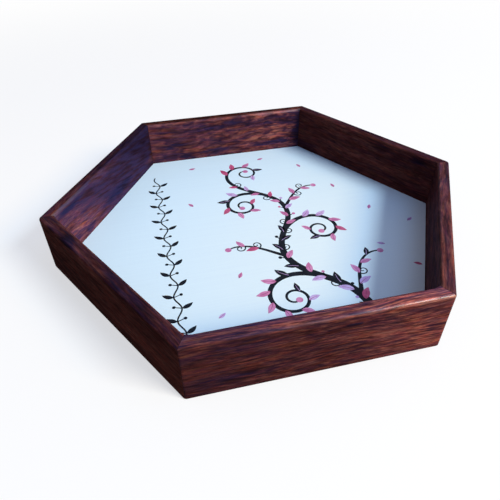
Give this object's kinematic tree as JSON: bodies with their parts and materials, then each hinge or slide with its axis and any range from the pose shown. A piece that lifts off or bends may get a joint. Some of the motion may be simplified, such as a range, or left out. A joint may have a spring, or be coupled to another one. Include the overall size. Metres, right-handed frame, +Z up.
{
  "type": "dice tray",
  "caption": "Open hexagonal hardwood tray with low vertical walls, softened top edges and a flat lined floor for rolling dice.",
  "frame": {"origin": "centre of the footprint, on the surface the tray stands on", "axes": "+X along the front rail from left to right, corner to corner; +Y from the front rail to the back rail; +Z up"},
  "size_m": [0.2418, 0.21, 0.034],
  "materials": {
    "rail_wood": "satin oiled dark reddish-brown hardwood",
    "spline_wood": "bare sanded hardwood",
    "panel_board": "thin sanded plywood",
    "printed_lining": "smooth satin printed sheet, pale blue-white"
  },
  "bodies": {
    "root": {"side_front": "rail_wood", "side_right": "rail_wood", "side_back_right": "rail_wood", "side_back": "rail_wood", "side_back_left": "rail_wood", "side_front_left": "rail_wood", "spline_front_right_corner": "spline_wood", "spline_right_corner": "spline_wood", "spline_back_right_corner": "spline_wood", "spline_back_left_corner": "spline_wood", "spline_left_corner": "spline_wood", "spline_front_left_corner": "spline_wood", "base_panel": "panel_board", "print_mat": "printed_lining"}
  },
  "joints": []
}
